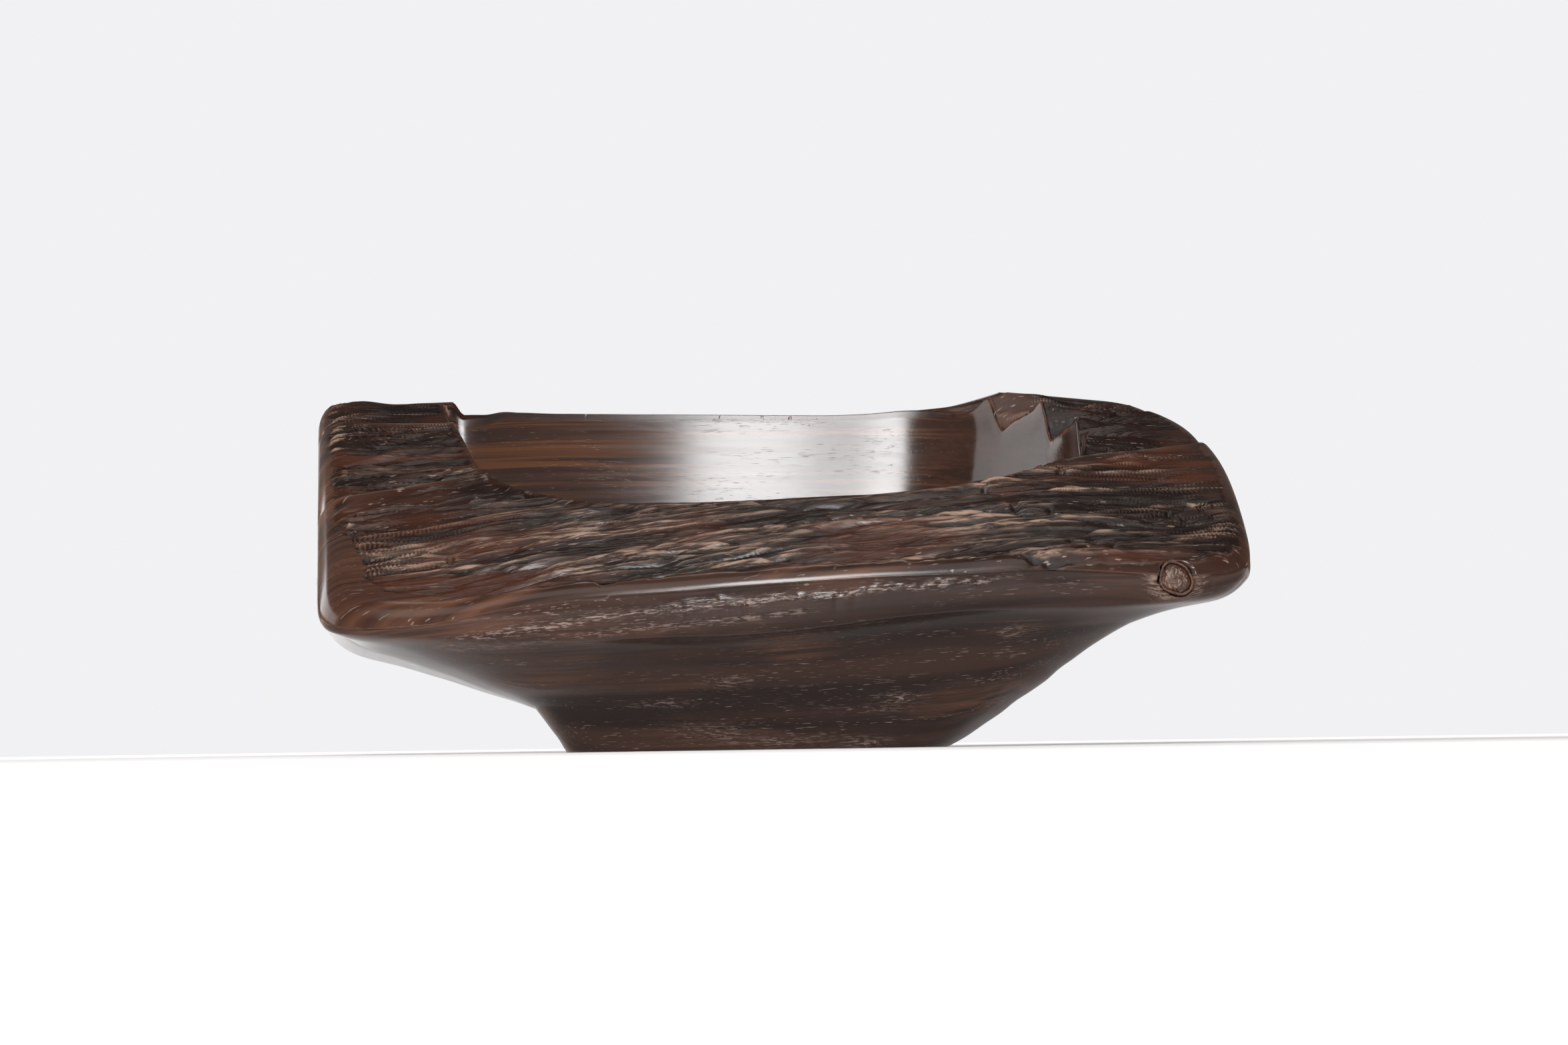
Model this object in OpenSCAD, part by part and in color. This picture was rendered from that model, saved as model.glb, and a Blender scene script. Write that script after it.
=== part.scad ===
// Carved bowl cut from one block of dark timber that keeps the weathered outside of the log as
// its slanted top. A bowl-shaped hollow is sunk into the slope, the ends are cut and rounded,
// and the underside draws in to a smaller flat foot. A dead branch knot with its ring of bark
// sits in the front face.
// Frame: millimetres, +Z up, +X towards the right end, +Y towards the back. The origin is the
// middle of the bounding box on the plane that the foot stands on.

/* [Block] */
// Distance from the middle of the hollow to the front face
front_reach = 190; // [175:1:205]
// Distance from the middle of the hollow to the back face
rear_reach = 136; // [132:1:146]
// Distance from the middle of the hollow to the left end
left_reach = 302; // [290:1:320]
// Distance from the middle of the hollow to the right end
right_reach = 314; // [300:1:330]
// Angle that the left end is turned away from square
left_turn = 15; // [5:1:20]
// Radius of the worked edge between the top and the front and back
edge_round = 8; // [4:1:10]
// How much rounder that edge is along the left end
left_round = 12; // [0:1:14]
// How much rounder that edge is at the front corner of the right end
corner_round = 6; // [0:1:8]

/* [Slanted top] */
// Height of the front ridge at the middle
ridge_h = 106; // [98:1:116]
// Rise of the ridge for each millimetre to the right
ridge_tilt = 0.052; // [0:0.002:0.06]
// Slope of the top where it leaves the ridge, as rise over run
top_slope = 0.74; // [0.68:0.01:0.78]
// How far the back wall between the two end blocks is cut down
back_drop = 24; // [10:1:28]

/* [Weathered grooves] */
// Distance between the deep grooves of the right end block
groove_pitch = 40; // [32:1:48]
// Depth of the deep grooves of the right end block
groove_depth = 21; // [0:1:24]
// Distance between the narrow ridges at the back of the left end block
ridge_pitch = 24; // [18:1:30]
// Depth of the furrows between those narrow ridges
ridge_depth = 6; // [0:1:9]
// Depth of the step behind the front strip, at both ends
step_depth = 7; // [0:1:10]

/* [Hollow] */
// Distance from the middle of the hollow to its front rim
rim_front = 104; // [96:1:112]
// Distance from the middle of the hollow to its back rim
rim_rear = 118; // [110:1:120]
// Distance from the middle of the hollow to its left rim
rim_left = 197; // [180:1:210]
// Distance from the middle of the hollow to its right rim
rim_right = 234; // [215:1:240]
// Height of the hollow's floor above the foot
floor_h = 62; // [50:1:75]
// Fullness of the hollow's wall, where 2 is a plain ellipse and more is steeper
wall_power = 2.6; // [2:0.1:3.2]

/* [Underside and foot] */
// Half length of the foot, along X
foot_half = 125; // [100:1:140]
// Distance from the middle of the hollow to the front of the foot
foot_front = 114; // [95:1:125]
// Distance from the middle of the hollow to the back of the foot
foot_rear = 70; // [60:1:80]
// Height of the crease below the front face at the left
crease_h = 68; // [60:1:76]
// Height of the lower edge of the right end
right_lip_h = 101; // [92:1:104]
// Height of the lower edge of the back face
rear_lip_h = 120; // [105:1:140]

/* [Branch knot] */
// Diameter of the dead knot
knot_d = 18; // [12:1:20]
// Thickness of the bark ring around the knot
bark_t = 1.5; // [1:0.1:2]
// Length of the knot into the block
knot_len = 20; // [16:1:26]

/* [Hidden] */

// Rounding powers of the four outlines: more is a tighter corner
block_power = 22;
belly_power = 10;
rim_power = 12;
foot_power = 10;

// How far the belly, where the underside starts, lies inside the block's faces
belly_inset = 4;
belly_inset_rear = 16;
belly_inset_left = 38;
belly_inset_right = 20;
// The right end and the hollow's ends are each made of two sides, which meet in a blunt corner
right_bulge = 14;
right_cut = 5;
belly_cut = 9;
rim_corner_front = 64;
rim_cut_right = 6;
rim_cut_left = 42;

// Each outline is a few straight sides, [direction it faces, distance from the hollow's middle]
block_sides = [
    [-90, front_reach],
    [-8, right_reach + right_bulge],
    [14, right_reach - right_cut],
    [92, rear_reach],
    [180 + left_turn, left_reach]
];
belly_sides = [
    [-90, front_reach - belly_inset],
    [-6, right_reach + right_bulge - belly_inset_right],
    [10, right_reach + right_bulge - belly_inset_right - belly_cut],
    [90, rear_reach - belly_inset_rear],
    [180 + left_turn, left_reach - belly_inset_left]
];
rim_sides = [
    [-90, rim_front],
    [-60, rim_front + rim_corner_front],
    [-10, rim_right],
    [24, rim_right - rim_cut_right],
    [90, rim_rear],
    [200, rim_left],
    [236, rim_left - rim_cut_left]
];
foot_sides = [
    [-90, foot_front],
    [0, foot_half],
    [90, foot_rear],
    [180, foot_half]
];

// Front ridge: the X where its height is given, and its fall over a stretch at each end
ridge_mark = 5;
ridge_right = [165, 325];
ridge_right_fall = 9;
ridge_left = [145, 255];
ridge_left_fall = 3;
// Easing of the top's slope towards the back, and its change along X
slope_easing = 0.0006;
slope_easing_growth = 0.0000007;

// Grooves of the right end block: where they set in and fade along X, the share that stays,
// their band across the block, the Y of one groove's middle, and how sharp the ridges are
grooves_set_in = [105, 185];
grooves_fade = [230, 305];
grooves_kept = 0.3;
grooves_front = [-15, 0];
grooves_back = [110, 118];
groove_middle = 90;
groove_sharpness = 1.3;

// Furrows of the left end block: where they set in towards the left, their band across the
// block, and the Y of one furrow's middle
furrows_set_in = [185, 235];
furrows_front = [55, 72];
furrows_back = [132, 136];
furrow_middle = 120;

// Step behind the front strip: where it sets in towards each end, one [X, Y] point and the
// slope of its line at each end, and its half width
step_left = [145, 225];
step_right = [195, 245];
step_left_at = [-285, -53];
step_left_slope = 0.22;
step_right_at = [225, -55];
step_right_slope = 0.4;
step_width = 7;

// Cut of the back wall: how it runs out towards the right end block, its two steps at the left
// end block with the share of the first, and where it sets in towards the back
cut_right = [35, 193];
cut_right_power = 2.5;
cut_left_first = [180, 220];
cut_left_last = [233, 245];
cut_left_share = 0.55;
cut_front = [55, 95];

// Crease under the front face: its rise over two stretches to the right. The side's crease
// blends into the rear lip over Y, and into the front crease over -Y.
crease_rise = 14;
crease_rise_from = [-25, 155];
crease_end_rise = 4;
crease_end_from = [205, 295];
left_lip_drop = 2;
rear_lip_from = [-20, 110];
front_crease_from = [100, 160];

// Underside: how the sweep's power changes between the ends, and at the left the steepness of
// the foot's side, the height share where it kinks, and the power of the rest
sweep_change = 0.35;
kink_steepness = 2.4;
kink_share = 0.28;
kink_power = 0.9;
kink_from = [0.2, 0.75];

// How much of the left and right end a column faces, as a cosine: the rounder left edge, and
// the change of the lower edge's rounding. The rounder front corner lies in one direction.
left_edge_from = [0.6, 0.95];
end_lip_from = [0.3, 0.9];
corner_direction = 328;
corner_spread = 14;

// Spacing of the rings up the faces, and the turn at which the wall meets the floor's fan
band_crowding = 1.4;
wall_turn = 82;

// Mesh of the block: columns around it, and rings on each stretch of its surface
columns = 128;
side_crowding = 0.45;
under_rings = 8;
band_rings = 5;
edge_rings = 3;
top_rings = 11;
wall_rings = 10;

// Rounding under the lower edge of the block, and how it changes towards the two ends
lip_round = 34;
lip_round_left = 10;
lip_round_right = -12;

// Colours
dark_wood = [0.17, 0.11, 0.08];
knot_wood = [0.27, 0.17, 0.12];
bark = [0.08, 0.06, 0.05];

// Straight ramp from 0 at the start of a stretch to 1 at its end
function ramp(stretch, v) =
    min(1, max(0, (v - stretch[0]) / (stretch[1] - stretch[0])));
// Eased step from 0 at the start of a stretch to 1 at its end
function eased(stretch, v) = let (t = ramp(stretch, v)) t * t * (3 - 2 * t);
// Straight mix of a and b
function mixed(a, b, t) = a + (b - a) * t;
// Bell curve of height 1 and the given half width
function bell(v, half_width) = exp(-pow(v / half_width, 2));

// Distance from the middle to a rounded outline, in direction a
function reach(a, sides, power) =
    let (pulls = [for (s = sides) pow(max(0, cos(a - s[0]) / s[1]), power)])
    pow(pulls * [for (s = sides) 1], -1 / power);

// Height of the front ridge along X
function ridge_z(x) =
    ridge_h + ridge_tilt * (x - ridge_mark)
        - ridge_right_fall * eased(ridge_right, x) - ridge_left_fall * eased(ridge_left, -x);

// Depth of the weathered grooves of the right end block, deepest beside the hollow
function right_grooves(x, y) =
    let (
        along = eased(grooves_set_in, x) * mixed(1, grooves_kept, eased(grooves_fade, x)),
        across = eased(grooves_front, y) * (1 - eased(grooves_back, y)),
        wave = (1 + cos(360 * (y - groove_middle) / groove_pitch)) / 2
    )
    groove_depth * along * across * pow(wave, groove_sharpness);

// Depth of the furrows between the narrow ridges at the back of the left end block
function left_furrows(x, y) =
    let (
        along = eased(furrows_set_in, -x),
        across = eased(furrows_front, y) * (1 - eased(furrows_back, y)),
        wave = (1 + cos(360 * (y - furrow_middle) / ridge_pitch)) / 2
    )
    ridge_depth * along * across * wave * wave;

// Y of a line through a point, at x
function line_y(x, point, slope) = point[1] + slope * (x - point[0]);

// Depth of the step behind the crest of the front strip, at both ends
function step_groove(x, y) =
    let (
        ends = max(eased(step_left, -x), eased(step_right, x)),
        line = x < 0 ? line_y(x, step_left_at, step_left_slope)
            : line_y(x, step_right_at, step_right_slope)
    )
    step_depth * ends * bell(y - line, step_width);

// How much of the back wall is cut down between the end blocks
function back_cut(x, y) =
    let (
        right = 1 - pow(ramp(cut_right, x), cut_right_power),
        left = 1 - cut_left_share * eased(cut_left_first, -x)
            - (1 - cut_left_share) * eased(cut_left_last, -x)
    )
    back_drop * right * left * eased(cut_front, y);

// Height of the slanted top: the outside of the log, steep in front and easing to the back
function top_z(x, y) =
    let (
        run = y + front_reach,
        easing = slope_easing + slope_easing_growth * (x - ridge_mark)
    )
    ridge_z(x) + top_slope * run - easing * run * run
        - right_grooves(x, y) - left_furrows(x, y) - step_groove(x, y) - back_cut(x, y);

// Height of the crease where the upright sides turn under
function crease_z(x, y) =
    let (
        front = crease_h + crease_rise * eased(crease_rise_from, x)
            + crease_end_rise * eased(crease_end_from, x),
        lip = x < 0 ? crease_h - left_lip_drop : right_lip_h,
        end = mixed(lip, rear_lip_h, eased(rear_lip_from, y))
    )
    mixed(end, front, eased(front_crease_from, -y));

// Share of the crease height that the underside has reached, t of the way out from the foot.
// It is a plain sweep, except at the left, where the foot's side stands up to a kink.
function under_share(a, t) =
    let (
        sweep = pow(sin(90 * t), 1 + sweep_change * cos(a)),
        kinked = min(kink_steepness * t, mixed(kink_share, 1, pow(t, kink_power)))
    )
    mixed(sweep, kinked, eased(kink_from, -cos(a)));

// Directions of the columns, crowded towards the two ends, which are farthest from the middle
directions = [
    for (i = [0 : columns - 1])
        let (u = 360 * i / columns)
        u - side_crowding * 90 / PI * sin(2 * u)
];

// Point at distance r in direction a and at height z
function polar(a, r, z) = [r * cos(a), r * sin(a), z];
// Point of the top surface at distance r in direction a, lowered by sink
function on_top(a, r, sink) =
    let (x = r * cos(a), y = r * sin(a))
    [x, y, top_z(x, y) - sink];

// One column of surface points, from the edge of the foot out, up, over the top, and down the
// wall of the hollow to its floor
function column(a) =
    let (
        foot_r = reach(a, foot_sides, foot_power),
        belly_r = reach(a, belly_sides, belly_power),
        block_r = reach(a, block_sides, block_power),
        rim_r = reach(a, rim_sides, rim_power),
        crease = crease_z(belly_r * cos(a), belly_r * sin(a)),
        edge = edge_round + left_round * eased(left_edge_from, -cos(a))
            + corner_round * bell(a - corner_direction, corner_spread),
        brow = on_top(a, block_r, edge)[2],
        lip = min(brow - crease, lip_round + lip_round_left * eased(end_lip_from, -cos(a))
            + lip_round_right * eased(end_lip_from, cos(a))),
        rim_z = on_top(a, rim_r, 0)[2]
    )
    concat(
        [for (i = [0 : under_rings])
            let (t = i / under_rings)
            polar(a, mixed(foot_r, belly_r, t), crease * under_share(a, t))],
        [for (i = [1 : band_rings])
            let (
                z = mixed(crease, brow, pow(i / band_rings, band_crowding)),
                turn = ramp([0, lip], z - crease)
            )
            polar(a, mixed(belly_r, block_r, sqrt(1 - pow(1 - turn, 2))), z)],
        [for (i = [1 : edge_rings])
            let (turn = 90 * i / edge_rings)
            on_top(a, block_r - edge * (1 - cos(turn)), edge * (1 - sin(turn)))],
        [for (i = [1 : top_rings])
            on_top(a, mixed(block_r - edge, rim_r, i / top_rings), 0)],
        [for (i = [1 : wall_rings])
            let (turn = wall_turn * i / wall_rings)
            polar(a, rim_r * pow(cos(turn), 2 / wall_power),
                mixed(rim_z, floor_h, pow(sin(turn), 2 / wall_power)))]
    );

column_points = [for (a = directions) column(a)];
rings = len(column_points[0]);

// Middle of the bounding box, seen from above
all_x = [for (c = column_points) for (p = c) p[0]];
all_y = [for (c = column_points) for (p = c) p[1]];
middle = [(min(all_x) + max(all_x)) / 2, (min(all_y) + max(all_y)) / 2, 0];

// The columns' points, then the middle of the hollow's floor and the middle of the foot
block_points = concat(
    [for (c = column_points) for (p = c) p - middle],
    [[0, 0, floor_h] - middle, [0, 0, 0] - middle]
);
floor_point = columns * rings;
foot_point = floor_point + 1;
block_faces = [
    for (i = [0 : columns - 1])
        let (a = i * rings, b = (i + 1) % columns * rings)
        each concat(
            [[a, b, foot_point]],
            [for (k = [0 : rings - 2]) each [[a + k, b + k + 1, b + k], [a + k, a + k + 1, b + k + 1]]],
            [[a + rings - 1, floor_point, b + rings - 1]]
        )
];

// The knot comes out of the front face at the right, pointing forward and a little up. Its end
// stands proud of the face by knot_proud, with a rounded edge, and the bark stops short of it.
knot_x = 256;
knot_z = 99;
knot_rise = 6;
knot_proud = 0.5;
knot_crown = 0.6;
knot_shoulder = 1.8;
bark_short = 1.3;
knot_facets = 48;
overshoot = 2;
knot_end = knot_len - 0.2;
knot_face = [knot_x, knot_proud - front_reach, knot_z] - middle;

// Puts a shape that stands on +Z along the knot's axis, with its top end in the front face
module at_knot() {
    translate(knot_face)
        rotate([90 - knot_rise, 0, 0])
            translate([0, 0, -knot_len])
                children();
}

module bowl_body() {
    color(dark_wood)
        difference() {
            polyhedron(points = block_points, faces = block_faces, convexity = 6);
            at_knot()
                cylinder(d = knot_d + 2 * bark_t, h = 2 * knot_len, $fn = knot_facets);
        }
}

module bark_ring() {
    color(bark)
        at_knot()
            difference() {
                cylinder(d = knot_d + 2 * bark_t, h = knot_end - bark_short, $fn = knot_facets);
                translate([0, 0, -overshoot])
                    cylinder(d = knot_d, h = knot_len + 2 * overshoot, $fn = knot_facets);
            }
}

module branch_knot() {
    color(knot_wood)
        at_knot()
            rotate_extrude($fn = knot_facets)
                polygon([
                    [0, 0],
                    [knot_d / 2, 0],
                    [knot_d / 2, knot_end - knot_shoulder],
                    [knot_d / 3, knot_end - knot_crown],
                    [0, knot_end]
                ]);
}

bowl_body();
bark_ring();
branch_knot();
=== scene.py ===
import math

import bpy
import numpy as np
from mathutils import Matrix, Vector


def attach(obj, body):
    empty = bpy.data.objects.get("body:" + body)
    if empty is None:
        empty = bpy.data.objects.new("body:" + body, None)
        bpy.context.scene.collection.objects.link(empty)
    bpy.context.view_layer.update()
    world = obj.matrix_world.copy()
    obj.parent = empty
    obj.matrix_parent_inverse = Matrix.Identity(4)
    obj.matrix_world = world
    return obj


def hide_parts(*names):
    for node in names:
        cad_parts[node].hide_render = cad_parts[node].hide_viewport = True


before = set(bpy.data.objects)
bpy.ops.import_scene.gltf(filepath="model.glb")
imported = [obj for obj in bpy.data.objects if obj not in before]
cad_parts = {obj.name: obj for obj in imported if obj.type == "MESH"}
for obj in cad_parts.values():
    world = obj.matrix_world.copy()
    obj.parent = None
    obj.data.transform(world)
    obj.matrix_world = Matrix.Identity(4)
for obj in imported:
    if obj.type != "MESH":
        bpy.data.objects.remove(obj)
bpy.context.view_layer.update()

# Visual model of a bowl carved from one block of dark timber. The block's surface is worked out
# again at a fine pitch from the outlines and heights of the CAD part, with the hollow's rim and
# the weathered steps and grooves fitted closer to the photo. It is then weathered: torn fibres on
# the slanted top, a polished ridge and ends, torn flakes along the front face, and soft waves on
# the underside. The shape's functions work in millimetres from the middle of the hollow, and
# everything that Blender gets is in metres in the CAD frame.

MM = 0.001

# ---------------------------------------------------------------- sizes in millimetres

# The block, as in the CAD part
FRONT_REACH = 190
REAR_REACH = 136
LEFT_REACH = 302
RIGHT_REACH = 314
LEFT_TURN = 15
EDGE_ROUND = 8
LEFT_ROUND = 12
CORNER_ROUND = 6
# The rounder front corner's direction and half width, in degrees
CORNER_FACES = (328, 14)

# The slanted top: the ridge's height at one X, its fall over a stretch at each end, and the
# slope, which eases towards the back
RIDGE_H = 106
RIDGE_TILT = 0.052
RIDGE_MARK = 5
RIDGE_RIGHT, RIDGE_RIGHT_FALL = (165, 325), 9
RIDGE_LEFT, RIDGE_LEFT_FALL = (145, 255), 3
TOP_SLOPE = 0.74
SLOPE_EASING = 0.0006
SLOPE_EASING_GROWTH = 0.0000007

# The cut of the back wall, with its run-out to the right and its two steps at the left
BACK_DROP = 24
CUT_RIGHT, CUT_RIGHT_POWER = (35, 193), 2.5
CUT_LEFT_FIRST, CUT_LEFT_LAST = (150, 236), (230, 240)
CUT_FRONT = (55, 95)

# The grooves of the right end block (40 apart in the CAD part), the share of the pitch that
# their steep side takes, and where they set in and fade along X and Y
GROOVE_PITCH = 43
GROOVE_DEPTH = 21
GROOVE_RISE = 0.22
GROOVES_SET_IN, GROOVES_FADE = (105, 185), (222, 284)
GROOVES_FRONT, GROOVES_BACK = (-22, -6), (114, 124)
# The furrows of the left end block
RIDGE_PITCH = 24
RIDGE_DEPTH = 6
# The step behind the front strip, how many times as deep it is here as in the CAD part, and
# where it sets in towards each end
STEP_DEPTH = 7
STEP_DEEPER = 1.3
STEP_LEFT, STEP_RIGHT = (150, 215), (190, 235)

# The hollow
RIM_FRONT = 104
RIM_REAR = 118
RIM_LEFT = 197
RIM_RIGHT = 234
FLOOR_H = 62
WALL_POWER = 2.6

# The underside and foot, with the crease below the front face and its rise to the right
FOOT_HALF = 125
FOOT_FRONT = 114
FOOT_REAR = 70
CREASE_H = 68
RIGHT_LIP_H = 101
REAR_LIP_H = 120
CREASE_RISE, CREASE_RISE_FROM = 14, (-25, 155)
CREASE_END_RISE, CREASE_END_FROM = 4, (205, 295)
LEFT_LIP_DROP = 2

# The branch knot, its bark, its place, and the angle in degrees at which it leans back
KNOT_D = 18
BARK_T = 1.5
KNOT_LEN = 20
KNOT_X = 256
KNOT_Z = 99
KNOT_RISE = 6

# Rounding under the lower edge of the block, and how it changes towards the two ends
LIP_ROUND = 34
LIP_ROUND_LEFT = 10
LIP_ROUND_RIGHT = -12

# Each outline is a few straight sides, (direction it faces, distance), and a rounding power
BLOCK = (
    ((-90, FRONT_REACH), (-8, RIGHT_REACH + 14), (14, RIGHT_REACH - 5), (92, REAR_REACH),
     (180 + LEFT_TURN, LEFT_REACH)),
    22,
)
BELLY = (
    ((-90, FRONT_REACH - 4), (-6, RIGHT_REACH - 6), (10, RIGHT_REACH - 15), (90, REAR_REACH - 16),
     (180 + LEFT_TURN, LEFT_REACH - 38)),
    10,
)
RIM = (
    ((-92, RIM_FRONT + 4), (-67, RIM_FRONT + 50), (-12, RIM_RIGHT + 1), (36, RIM_RIGHT - 32),
     (90, RIM_REAR - 2), (201, RIM_LEFT - 6), (243, RIM_LEFT - 57)),
    12,
)
# The same rim, rounder for its right rear and sharper for its left rear
ROUND_RIM = (RIM[0], 8)
SHARP_RIM = (RIM[0], 20)
FOOT = (
    ((-90, FOOT_FRONT), (0, FOOT_HALF), (90, FOOT_REAR), (180, FOOT_HALF)),
    10,
)

# ---------------------------------------------------------------- fineness of the mesh

COLUMNS = 1500
SIDE_CROWDING = 0.55
FOOT_RINGS = 5
UNDER_RINGS = 66
LIP_RINGS = 26
FACE_RINGS = 40
EDGE_RINGS = 12
TOP_RINGS = 210
WALL_RINGS = 84
KNOT_COLUMNS = 96

# ---------------------------------------------------------------- small functions


def ramp(a, b, v):
    """Straight ramp from 0 at a to 1 at b."""
    return np.clip((v - a) / (b - a), 0, 1)


def eased(a, b, v):
    """Eased step from 0 at a to 1 at b."""
    t = ramp(a, b, v)
    return t * t * (3 - 2 * t)


def mixed(a, b, t):
    """Straight mix of a and b."""
    return a + (b - a) * t


def bell(v, half_width):
    """Bell curve of height 1."""
    return np.exp(-((v / half_width) ** 2))


def cosd(a):
    """Cosine of an angle in degrees."""
    return np.cos(np.radians(a))


def sind(a):
    """Sine of an angle in degrees."""
    return np.sin(np.radians(a))


def window(a, b, c, d, v):
    """1 between b and c, easing to 0 at a and d."""
    return eased(a, b, v) * (1 - eased(c, d, v))


def spot(x, y, place, half_size):
    """A soft round patch, 1 in its middle."""
    return np.exp(-(((x - place[0]) / half_size[0]) ** 2 + ((y - place[1]) / half_size[1]) ** 2))


# ---------------------------------------------------------------- repeatable noise


def hashed(i, j, seed):
    """One number from -1 to 1 for each pair of whole numbers."""
    h = (i * 374761393 + j * 668265263 + seed * 97463477) & 0xFFFFFFFF
    h = ((h ^ (h >> 13)) * 1274126177) & 0xFFFFFFFF
    return ((h ^ (h >> 16)) & 0xFFFF) / 32767.5 - 1


def noise(x, y, seed):
    """Smooth noise from -1 to 1, with a new random value at each whole number."""
    i = np.floor(x).astype(np.int64)
    j = np.floor(y).astype(np.int64)
    s = eased(0, 1, x - i)
    t = eased(0, 1, y - j)
    low = mixed(hashed(i, j, seed), hashed(i + 1, j, seed), s)
    high = mixed(hashed(i, j + 1, seed), hashed(i + 1, j + 1, seed), s)
    return mixed(low, high, t)


def splinters(u, v, seed):
    """Overlapping slivers: long cells of a random height, each sloping down towards one end."""
    row = np.floor(v).astype(np.int64)
    shifted = u + 5 * hashed(row, row * 0, seed)
    cell = np.floor(shifted).astype(np.int64)
    height = hashed(cell, row, seed + 1)
    slope = hashed(cell, row, seed + 2)
    crown = 1 - (2 * (v - row) - 1) ** 2
    return 0.6 * height + 0.5 * slope * (shifted - cell - 0.5) + 0.4 * crown - 0.25


def terraces(u, v, seed):
    """Broken raised fibres along u: each rises gently in front and drops steeply behind."""
    wavy = v + 0.9 * noise(u, v / 3, seed)
    row = np.floor(wavy).astype(np.int64)
    phase = wavy - row
    rise = 0.66
    step = np.where(phase < rise, ramp(0, rise, phase) ** 0.8, 1 - eased(rise, 1, phase))
    shifted = 1.6 * u + 4 * hashed(row, row * 0, seed + 1)
    return step * np.clip(0.5 + 0.9 * noise(shifted, row, seed + 2), 0, 1)


# ---------------------------------------------------------------- the block's shape


def reach(a, outline):
    """Distance from the middle to a rounded outline, in direction a."""
    sides, power = outline
    pulls = sum(np.maximum(0, cosd(a - facing) / distance) ** power for facing, distance in sides)
    return pulls ** (-1 / power)


def rim_reach(a):
    """Distance from the middle to the hollow's rim, which is rounder at the right rear and
    sharper at the left rear."""
    at_right_rear = eased(0, 0.5, sind(a)) * eased(-0.35, 0.3, cosd(a))
    at_left_rear = eased(0, 0.35, sind(a)) * eased(-0.6, -0.8, cosd(a))
    rim = mixed(reach(a, RIM), reach(a, ROUND_RIM), at_right_rear)
    return mixed(rim, reach(a, SHARP_RIM), at_left_rear)


def line_at(x, points):
    """Height of a line through a few points, at x."""
    return np.interp(x, [p[0] for p in points], [p[1] for p in points])


def ledge(y, line, front, back):
    """A drop just behind a line, 1 deep, that recovers slowly further back."""
    behind = y - line
    return eased(-front, 0, behind) * np.exp(-np.maximum(0, behind) / back)


def ridge_z(x):
    """Height of the front ridge along X."""
    fall = RIDGE_RIGHT_FALL * eased(*RIDGE_RIGHT, x)
    return RIDGE_H + RIDGE_TILT * (x - RIDGE_MARK) - fall - RIDGE_LEFT_FALL * eased(*RIDGE_LEFT, -x)


def ridge_wear(x, y):
    """How far wear has lowered the ridge: a long dip at the left, and gentle waves."""
    near_ridge = 1 - eased(5, 60, y + FRONT_REACH)
    return near_ridge * (6.5 * bell(x + 182, 48) + 0.8 * noise(x / 60, x * 0, 5))


def right_grooves(x, y):
    """Deep weathered grooves of the right end block: steep in front, easy behind."""
    along = window(*GROOVES_SET_IN, *GROOVES_FADE, x)
    across = window(*GROOVES_FRONT, *GROOVES_BACK, y)
    phase = np.mod((y + 5 + 0.05 * (x - 200)) / GROOVE_PITCH, 1)
    phase = phase + 0.015 * noise(x / 40, y / 15, 17)
    front = 1 - eased(0.0, GROOVE_RISE, phase)
    wave = np.where(phase < GROOVE_RISE, front, ramp(GROOVE_RISE, 1, phase) ** 1.3)
    crest = 6 * bell(phase - GROOVE_RISE, 0.13) * (1 - eased(205, 262, x))
    return along * across * (GROOVE_DEPTH * wave - crest)


def left_furrows(x, y):
    """Furrows between the narrow ridges at the back of the left end block."""
    along = eased(175, 215, -x)
    across = window(48, 62, 132, 136, y)
    phase = np.mod((y - 58 + 0.04 * (x + 260)) / RIDGE_PITCH, 1)
    return RIDGE_DEPTH * along * across * np.exp(-3.2 * phase) * eased(0, 0.1, phase)


def step_line(x):
    """Where the back of the front strip's crest runs, at both ends."""
    return np.where(x < 0, 0.2 * (x + 285) - 64, 0.34 * (x - 225) - 64)


def step_ends(x):
    """1 at the two ends, where the front strip has a step behind it."""
    return np.maximum(eased(*STEP_LEFT, -x), eased(*STEP_RIGHT, x))


def step_groove(x, y):
    """Step behind the crest of the front strip, at both ends."""
    return step_ends(x) * STEP_DEPTH * STEP_DEEPER * ledge(y, step_line(x), 2.0, 18)


def back_cut(x, y):
    """How much of the back wall is cut down between the end blocks."""
    right = 1 - ramp(*CUT_RIGHT, x) ** CUT_RIGHT_POWER
    left = 1 - 0.55 * eased(*CUT_LEFT_FIRST, -x) - 0.45 * eased(*CUT_LEFT_LAST, -x)
    return BACK_DROP * right * left * eased(*CUT_FRONT, y)


def slope_z(x, y):
    """Height of the plain slanted top, which is the outside of the log."""
    run = y + FRONT_REACH
    easing = SLOPE_EASING + SLOPE_EASING_GROWTH * (x - RIDGE_MARK)
    return ridge_z(x) + TOP_SLOPE * run - easing * run * run


def top_z(x, y):
    """Height of the slanted top before the fine weathering."""
    level = window(-240, -150, 120, 185, x) * eased(98, 115, y)
    slope = mixed(slope_z(x, y), slope_z(x, np.maximum(y, REAR_REACH)), level)
    slope = slope - ridge_wear(x, y)
    return slope - right_grooves(x, y) - left_furrows(x, y) - step_groove(x, y) - back_cut(x, y)


def crease_z(x, y):
    """Height of the crease where the upright sides turn under."""
    front = CREASE_H + CREASE_RISE * eased(*CREASE_RISE_FROM, x)
    front = front + CREASE_END_RISE * eased(*CREASE_END_FROM, x)
    lip = np.where(x < 0, CREASE_H - LEFT_LIP_DROP, RIGHT_LIP_H)
    end = mixed(lip, REAR_LIP_H, eased(-20, 110, y))
    return mixed(end, front, eased(100, 160, -y))


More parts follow.
